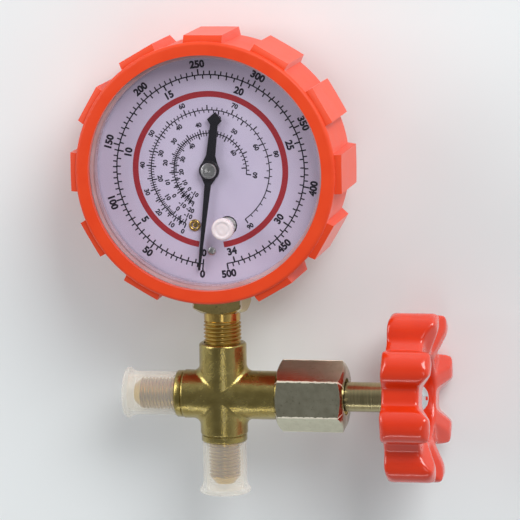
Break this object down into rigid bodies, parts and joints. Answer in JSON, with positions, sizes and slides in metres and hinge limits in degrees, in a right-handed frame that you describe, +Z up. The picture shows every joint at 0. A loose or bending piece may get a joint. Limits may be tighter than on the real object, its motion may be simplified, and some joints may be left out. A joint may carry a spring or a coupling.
{
  "type": "refrigerant manifold gauge",
  "caption": "Screw-down valve body with flare ports and a booted dial gauge above, for reading and isolating refrigerant pressure.",
  "frame": {"origin": "on the bottom port's axis, at the outer end of its thread", "axes": "+Z up the gauge's neck, -Y out of the dial, +X along the valve's stem towards the hand wheel"},
  "size_m": [0.1241, 0.0614, 0.1633],
  "materials": {
    "plated_brass": "satin nickel-tinged plate over forged brass",
    "brass": "machined",
    "bronze": "drawn, dull",
    "zinc_steel": "yellow zinc plate, turned",
    "steel": "machined",
    "chrome_steel": "bright plate",
    "case_steel": "deep-drawn, bright zinc plate",
    "red_paint": "glossy enamel over a die casting",
    "red_rubber": "smooth moulded",
    "black_nylon": "matte",
    "ptfe": "matte",
    "milky_plastic": "translucent",
    "dial_white": "printed satin enamel",
    "black_aluminium": "matte black",
    "clear_plastic": "polished clear polycarbonate"
  },
  "bodies": {
    "body": {"valve_body": "plated_brass", "bonnet": "plated_brass", "bonnet_seal": "black_nylon", "stem_packing": "ptfe", "gland_ring": "brass", "gauge_socket": "plated_brass", "bourdon_tube": "bronze", "tube_tip": "brass", "back_plate": "brass", "front_plate": "brass", "plate_pillars": "brass", "plate_screws": "steel", "hairspring": "bronze", "dial_posts": "brass", "dial": "dial_white", "dial_screw": "brass", "dial_pin": "steel", "case": "case_steel", "case_screws": "steel", "lens": "clear_plastic", "boot": "red_rubber"},
    "poppet": {"poppet": "brass", "seat_disc": "ptfe"},
    "stem": {"stem": "zinc_steel", "hand_wheel": "red_paint", "wheel_screw": "chrome_steel", "lock_washer": "steel"},
    "pointer": {"pinion": "brass", "pointer": "black_aluminium", "pointer_cap": "chrome_steel"},
    "sector": {"sector_gear": "brass"},
    "link": {"link": "brass"},
    "left_cap": {"left_cap": "milky_plastic"},
    "bottom_cap": {"bottom_cap": "milky_plastic"},
    "lens_plug": {"lens_plug": "milky_plastic"},
    "adjuster": {"adjuster_screw": "steel"}
  },
  "joints": [
    {"name": "valve_lift", "type": "slide", "parent": "body", "child": "poppet", "axis": [1, 0, 0], "range_m": [0, 0.0045]},
    {"name": "valve_turn", "type": "hinge", "parent": "poppet", "child": "stem", "pos_m": [0, 0, 0.029], "axis": [1, 0, 0], "range_deg": [0, 1080]},
    {"name": "pointer_turn", "type": "hinge", "parent": "body", "child": "pointer", "pos_m": [0, -0.01, 0.1103], "axis": [0, 1, 0], "range_deg": [0, 346]},
    {"name": "sector_turn", "type": "hinge", "parent": "body", "child": "sector", "pos_m": [-0.01474, -0.0095, 0.09998], "axis": [0, 1, 0], "range_deg": [-43.26, 0]},
    {"name": "link_turn", "type": "hinge", "parent": "sector", "child": "link", "pos_m": [-0.01677, -0.0111, 0.09486], "axis": [0, 1, 0], "range_deg": [0, 43.26]},
    {"name": "left_cap_pull", "type": "slide", "parent": "body", "child": "left_cap", "axis": [-1, 0, 0], "range_m": [0, 0.03]},
    {"name": "bottom_cap_pull", "type": "slide", "parent": "body", "child": "bottom_cap", "axis": [0, 0, -1], "range_m": [0, 0.03]},
    {"name": "plug_pull", "type": "slide", "parent": "body", "child": "lens_plug", "axis": [0, -1, 0], "range_m": [0, 0.025]},
    {"name": "adjuster_turn", "type": "hinge", "parent": "body", "child": "adjuster", "pos_m": [0.00577, -0.0095, 0.09105], "axis": [0, 1, 0], "range_deg": [-45, 45]}
  ],
  "couplings": [
    {"joint": "valve_lift", "follows": "valve_turn", "m_per_rad": 0.00023873},
    {"joint": "sector_turn", "follows": "pointer_turn", "ratio": -0.125},
    {"joint": "link_turn", "follows": "pointer_turn", "ratio": 0.125}
  ]
}
